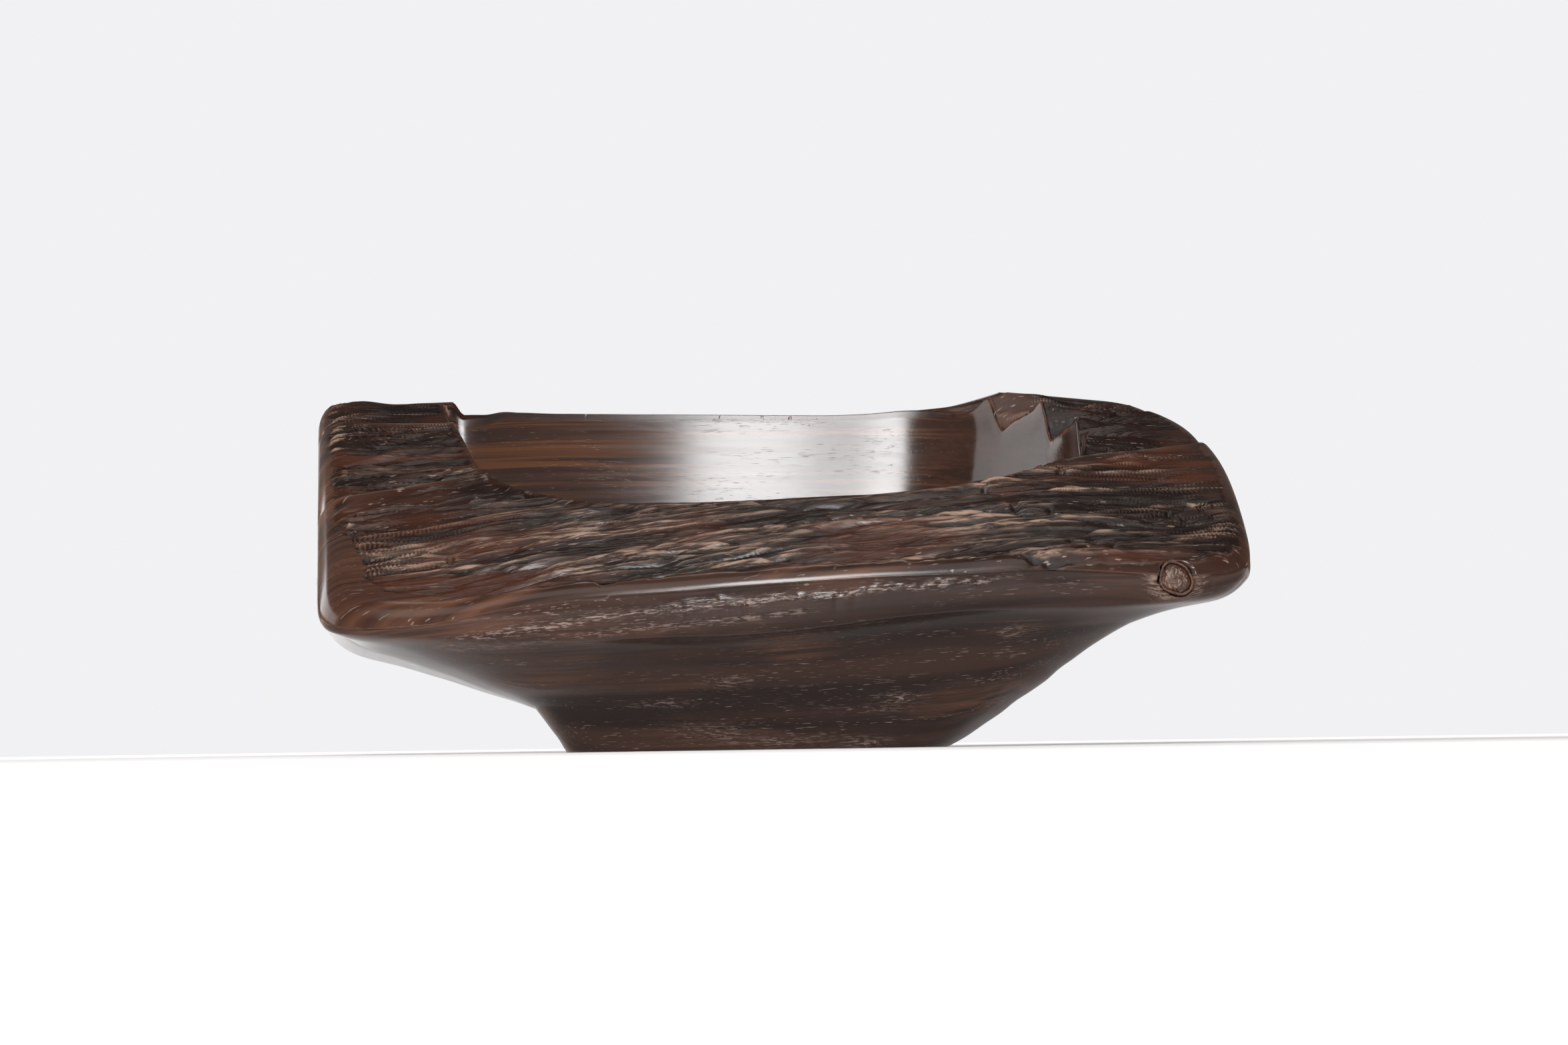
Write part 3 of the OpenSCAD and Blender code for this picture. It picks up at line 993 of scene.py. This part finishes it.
def weathered_colour(tree, base, worn, height, torn_zone, clouds, fine):
    """Colour of the weathered top over the sound wood: pale fibres, painted highlights on the crests
    and worn edges, and near-black painted shade in the valleys, cracks and gaps.
    """
    base = painted(tree, base, RED_BROWN, stored(tree, "ruddy"), 0.7)
    base = painted(tree, base, BLACK_BROWN, worn, 0.55)
    # Painted highlight: the fibres' crests are painted pale in place of glints, with some pale fibre
    crest = times(tree, stored(tree, "crest"), between(tree, fine, 0.34, 0.6))
    crest = times(tree, crest, maths(tree, "MULTIPLY_ADD", torn_zone, 0.6, 0.4))
    base = painted(tree, base, PALE_FIBRE_AND_GLINT, crest, 0.95)
    fan = times(tree, stored(tree, "pale"), between(tree, fine, 0.36, 0.6))
    base = painted(tree, base, PALE_FIBRE_AND_GLINT, fan, 0.42)
    # Painted shade: the low parts of the relief and the cracks are painted near-black
    painted_valley_shade = times(tree, worn, between(tree, height, 0.46, 0.2))
    painted_valley_shade = maths(tree, "MAXIMUM", painted_valley_shade, times(tree, stored(tree, "crack_shade"), 0.9))
    base = painted(tree, base, PAINTED_SHADE_BLACK, painted_valley_shade, 0.88)
    # Painted shade in the gaps behind the steps and ledges
    base = painted(tree, base, PAINTED_SHADE_BLACK, stored(tree, "gap_shade"), 0.9)
    # The steps' edges are painted paler: worn edges, and a painted highlight along them
    base = painted(tree, base, WORN_EDGE_HIGHLIGHT, stored(tree, "edge"), 0.6)
    smooth_top = maths(tree, "SUBTRACT", worn, torn_zone)
    smooth_top = times(tree, smooth_top, between(tree, clouds, 0.45, 0.62))
    return painted(tree, base, RED_BROWN, smooth_top, 0.35)


def timber():
    """Near-black brown timber: polished on the cut faces, weathered and fibrous on the top."""
    material, tree, shader = new_material("dark_timber")
    worn = stored(tree, "worn")
    height = stored(tree, "height")
    torn_zone = stored(tree, "torn")
    hollow = stored(tree, "hollow")
    flake = stored(tree, "flake")
    streaks = noisy(tree, *STREAKS)
    clouds = noisy(tree, *CLOUDS)
    fine = noisy(tree, *FINE_FIBRES)
    base = polished_colour(tree, hollow, streaks, clouds)
    base = weathered_colour(tree, base, worn, height, torn_zone, clouds, fine)

    pores = between(tree, noisy(tree, *PORES), 0.66, 0.72)
    pores = times(tree, pores, between(tree, noisy(tree, *PORE_ROWS), 0.44, 0.6))
    pores = times(tree, pores, maths(tree, "MULTIPLY_ADD", hollow, -0.85, 1.0))
    shreds = times(tree, flake, between(tree, noisy(tree, *SHREDS), 0.5, 0.62))
    pale = maths(tree, "MAXIMUM", times(tree, pores, 0.6), times(tree, shreds, 0.75))
    base = blended(tree, pale, base, PORE_WAX)
    swirl = times(tree, stored(tree, "swirl"), between(tree, fine, 0.45, 0.6))
    base = painted(tree, base, PALE_FIBRE_AND_GLINT, swirl, 0.65)
    tree.links.new(base, shader.inputs["Base Color"])

    rough = maths(tree, "MULTIPLY_ADD", maths(tree, "SUBTRACT", streaks, 0.5), 0.1, POLISHED)
    rough = maths(tree, "MULTIPLY_ADD", hollow, -0.06, rough)
    valley = times(tree, worn, between(tree, height, 0.56, 0.3))
    rough = maths(tree, "MULTIPLY_ADD", valley, 0.1, rough)
    tree.links.new(rough, shader.inputs["Roughness"])

    amount = maths(tree, "MULTIPLY_ADD", torn_zone, 0.7, 0.02)
    amount = maths(tree, "MAXIMUM", amount, times(tree, worn, 0.35))
    amount = maths(tree, "MAXIMUM", amount, times(tree, flake, 0.8))
    fibres_out = {"Height": noisy(tree, *ROUGH_GRAIN), "Strength": amount, "Distance": FIBRE_BUMP}
    fibre_bump = add(tree, "ShaderNodeBump", fibres_out).outputs[0]
    pores_in = {"Height": pores, "Strength": 0.35, "Distance": PORE_BUMP, "Normal": fibre_bump}
    pore_bump = add(tree, "ShaderNodeBump", pores_in, invert=True).outputs[0]
    tree.links.new(pore_bump, shader.inputs["Normal"])
    shader.inputs["Specular IOR Level"].default_value = TIMBER_SPECULAR
    return material


def finish_rough(tree, shader, base, bump, strength, roughness):
    """Gives the knot's or bark's shader its colour, bumps and roughness."""
    tree.links.new(base, shader.inputs["Base Color"])
    bumps = {"Height": bump, "Strength": strength, "Distance": ROUGH_BUMP}
    tree.links.new(add(tree, "ShaderNodeBump", bumps).outputs[0], shader.inputs["Normal"])
    shader.inputs["Roughness"].default_value = roughness


def knot_timber():
    """Dead wood of the branch: brown blotches with pale fibres."""
    material, tree, shader = new_material("knot_wood")
    blotches = between(tree, noisy(tree, *KNOT_BLOTCHES), 0.4, 0.62)
    base = blended(tree, blotches, DARK_BROWN, MID_BROWN)
    pale = noisy(tree, *KNOT_FIBRES)
    base = blended(tree, between(tree, pale, 0.55, 0.7), base, PALE_FIBRE_AND_GLINT)
    finish_rough(tree, shader, base, pale, 0.7, KNOT_ROUGHNESS)
    return material


def bark_material():
    """Nearly black, dry bark."""
    material, tree, shader = new_material("bark")
    blotches = noisy(tree, *BARK_BLOTCHES)
    base = blended(tree, between(tree, blotches, 0.35, 0.6), BARK_BROWN, MID_BROWN)
    finish_rough(tree, shader, base, blotches, 0.8, BARK_ROUGHNESS)
    return material


# ---------------------------------------------------------------- knot and bark pieces


def turned(profile, swirl_seed):
    """A round piece on the knot's axis, as rings of points. profile is (radius, height) in
    millimetres, and its end has a low swirl."""
    axis, face = knot_axis()
    side = np.array([1.0, 0, 0])
    up = np.cross(axis, side)
    angle = 360 * np.arange(KNOT_COLUMNS) / KNOT_COLUMNS
    rings = []
    for radius, height in profile:
        r = radius * knot_outline(angle)
        turning = angle + 14 * radius
        swirl = 0.55 * noise(2.6 * cosd(turning), 2.6 * sind(turning) + radius / 5, swirl_seed)
        lift = height + (swirl - 0.5) * (height > KNOT_LEN - 4)
        ring = face + np.outer(r * cosd(angle), side) + np.outer(r * sind(angle), up)
        rings.append(ring + np.outer(lift - KNOT_LEN, axis))
    return np.array(rings)


def make_knot(middle):
    """The dead branch: a plug with a domed, swirling end."""
    r = KNOT_D / 2 - 0.15
    side = [(r, 0.3 + (KNOT_LEN - 3) * k / 12) for k in range(13)]
    turns = [90 * k / 5 for k in range(1, 4)]
    shoulder = [(r * cosd(t) ** 0.5, KNOT_LEN - 2.7 + 2.3 * sind(t)) for t in turns]
    edge = shoulder[-1][0]
    steps = [k / 14 for k in range(1, 14)]
    dome = [(edge * (1 - k), KNOT_LEN - 0.5 + 0.9 * sind(90 * k)) for k in steps]
    return round_object("dead_knot", turned(side + shoulder + dome, 122), middle)


def make_bark(middle):
    """The ring of bark around the knot, with an uneven lip."""
    inner, outer = KNOT_D / 2 - 0.05, KNOT_D / 2 + BARK_T + 0.1
    walls = [(inner, (KNOT_LEN - 3) * k / 8) for k in range(9)]
    turns = [180 * k / 8 for k in range(9)]
    lip = [
        (inner + (outer - inner) * (1 - cosd(t)) / 2, KNOT_LEN - 0.6 + 0.7 * sind(t)) for t in turns
    ]
    back = [(outer - 0.6, (KNOT_LEN - 3) * (1 - k / 8)) for k in range(9)]
    points = turned(walls + lip + back, 132)
    rings, columns = points.shape[:2]
    faces = []
    for k in range(rings):
        for i in range(columns):
            j = (i + 1) % columns
            m = (k + 1) % rings
            faces.append([k * columns + i, m * columns + i, m * columns + j, k * columns + j])
    return mesh_object("bark_lip", (points.reshape(-1, 3) - middle) * MM, faces)


def round_object(name, points, middle):
    """Closes rings of points at both ends."""
    rings, columns = points.shape[:2]
    flat = points.reshape(-1, 3)
    flat = np.concatenate([flat, [points[0].mean(0)], [points[-1].mean(0)]])
    faces = grid_faces(rings, columns, len(flat) - 2, len(flat) - 1)
    return mesh_object(name, (flat - middle) * MM, faces)


# ---------------------------------------------------------------- stage, light and camera

CAMERA_PLACE = (0.0317, -1.2370, 0.003)
CAMERA_PITCH = 97.1
CAMERA_ROLL = -0.87
CAMERA_LENS = 40.94
SENSOR_WIDTH = 36

WARM_LIGHT = (1.0, 0.93, 0.88)
PLAIN_LIGHT = (1.0, 1.0, 1.0)
# The room's tones in the directions that the bowl reflects, and the backdrop that the camera sees
ROOM_SIDES = colour(0.165, 0.155, 0.15)
ROOM_FRONT = colour(0.42, 0.41, 0.405)
ROOM_BEHIND = colour(1.8, 1.8, 1.81)
ROOM_CEILING = colour(0.145, 0.135, 0.13)
BACKDROP = colour(0.88, 0.88, 0.893)

FLOOR_SIZE = 12
FLOOR_GREY = colour(0.75, 0.75, 0.75)
FLOOR_LIGHT = colour(1.0, 1.0, 1.01)
FLOOR_ROUGHNESS = 0.6
# The floor's own glow beside the bowl, how much it gains further out, and over which distances
FLOOR_GLOW = 0.2
FLOOR_GLOW_GAIN = 0.62
FLOOR_GLOW_FROM = (0.45, 1.3)


def make_camera():
    """The camera at the photo's angle, level with the foot and looking up a little."""
    data = bpy.data.cameras.new("camera")
    data.sensor_width = SENSOR_WIDTH
    data.sensor_fit = "HORIZONTAL"
    data.lens = CAMERA_LENS
    data.clip_start = 0.01
    camera = bpy.data.objects.new("camera", data)
    bpy.context.scene.collection.objects.link(camera)
    turn = Matrix.Rotation(math.radians(CAMERA_PITCH), 4, "X")
    roll = Matrix.Rotation(math.radians(CAMERA_ROLL), 4, "Z")
    camera.matrix_world = Matrix.Translation(CAMERA_PLACE) @ turn @ roll
    bpy.context.scene.camera = camera


def panel(name, place, target, size, radiance, tint=PLAIN_LIGHT):
    """A soft rectangular light that faces a point. Its size is across and up, in metres."""
    data = bpy.data.lights.new(name, "AREA")
    data.shape = "RECTANGLE"
    data.size, data.size_y = size
    data.energy = radiance * math.pi * size[0] * size[1]
    data.color = tint
    light = bpy.data.objects.new(name, data)
    bpy.context.scene.collection.objects.link(light)
    light.location = place
    direction = Vector(target) - Vector(place)
    light.rotation_euler = direction.to_track_quat("-Z", "Y").to_euler()
    light.visible_camera = False


def make_lights():
    """A strip above, two window panels in front, a softbox at the left, a front fill and a room."""
    panel("strip_above", (0.0, -0.35, 1.5), (0, 0, 0.15), (1.1, 0.09), 10, WARM_LIGHT)
    panel("window_wide", (-0.0325, -1.9, 0.86), (-0.0325, 0.1, 0.3), (0.245, 0.75), 36)
    panel("window_narrow", (0.17, -1.9, 0.86), (0.17, 0.1, 0.3), (0.06, 0.75), 44)
    panel("left_softbox", (-2.6, 0.3, 1.27), (0.1, 0.3, 0.2), (3.4, 1.0), 4.0)
    panel("front_fill", (0.0, -2.3, 2.5), (0, 0, 0.15), (2.6, 1.2), 2.1, WARM_LIGHT)
    make_room()


def make_room():
    """The world: brighter behind the bowl's left, with a dim ceiling. The camera sees a backdrop."""
    world = bpy.data.worlds.new("room")
    bpy.context.scene.world = world
    world.use_nodes = True
    tree = world.node_tree
    place = add(tree, "ShaderNodeTexCoord").outputs["Generated"]
    parts = add(tree, "ShaderNodeSeparateXYZ", {0: place})
    behind = between(tree, parts.outputs[1], 0.84, 0.96)
    in_front = between(tree, parts.outputs[1], 0.1, -0.6)
    ceiling = between(tree, parts.outputs[2], 0.2, 0.6)
    tone = blended(tree, in_front, ROOM_SIDES, ROOM_FRONT)
    not_right = between(tree, parts.outputs[0], 0.16, 0.07)
    behind = times(tree, behind, maths(tree, "MULTIPLY_ADD", not_right, 0.8, 0.2))
    tone = blended(tree, behind, tone, ROOM_BEHIND)
    tone = blended(tree, ceiling, tone, ROOM_CEILING)
    seen = add(tree, "ShaderNodeLightPath").outputs["Is Camera Ray"]
    shown = blended(tree, seen, tone, BACKDROP)
    tree.links.new(shown, tree.nodes["Background"].inputs["Color"])


def make_floor():
    """A wide pale floor that glows a little, more so away from the bowl."""
    bpy.ops.mesh.primitive_plane_add(size=FLOOR_SIZE, location=(0, 0, 0))
    floor = bpy.context.object
    floor.name = "floor"
    material, tree, shader = new_material("floor")
    shader.inputs["Base Color"].default_value = FLOOR_GREY
    shader.inputs["Roughness"].default_value = FLOOR_ROUGHNESS
    shader.inputs["Emission Color"].default_value = FLOOR_LIGHT
    place = add(tree, "ShaderNodeTexCoord").outputs["Object"]
    distance = add(tree, "ShaderNodeVectorMath", {0: place}, operation="LENGTH").outputs["Value"]
    far = between(tree, distance, *FLOOR_GLOW_FROM)
    glow = maths(tree, "MULTIPLY_ADD", far, FLOOR_GLOW_GAIN, FLOOR_GLOW)
    tree.links.new(glow, shader.inputs["Emission Strength"])
    floor.data.materials.append(material)


# ---------------------------------------------------------------- the scene


def place_piece(piece, material, node):
    """Puts a piece in the frame in place of a CAD node."""
    if "grain" not in piece.data.attributes:
        places = np.array([corner.co for corner in piece.data.vertices])
        give_grain(piece.data, *places.T)
    piece.data.materials.append(material)
    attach(piece, "root")
    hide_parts(node)


make_camera()
make_lights()
make_floor()
MIDDLE = block_middle()
place_piece(make_body(MIDDLE), timber(), "bowl_body")
place_piece(make_bark(MIDDLE), bark_material(), "bark_ring")
place_piece(make_knot(MIDDLE), knot_timber(), "branch_knot")
bpy.context.scene.view_settings.view_transform = "Standard"
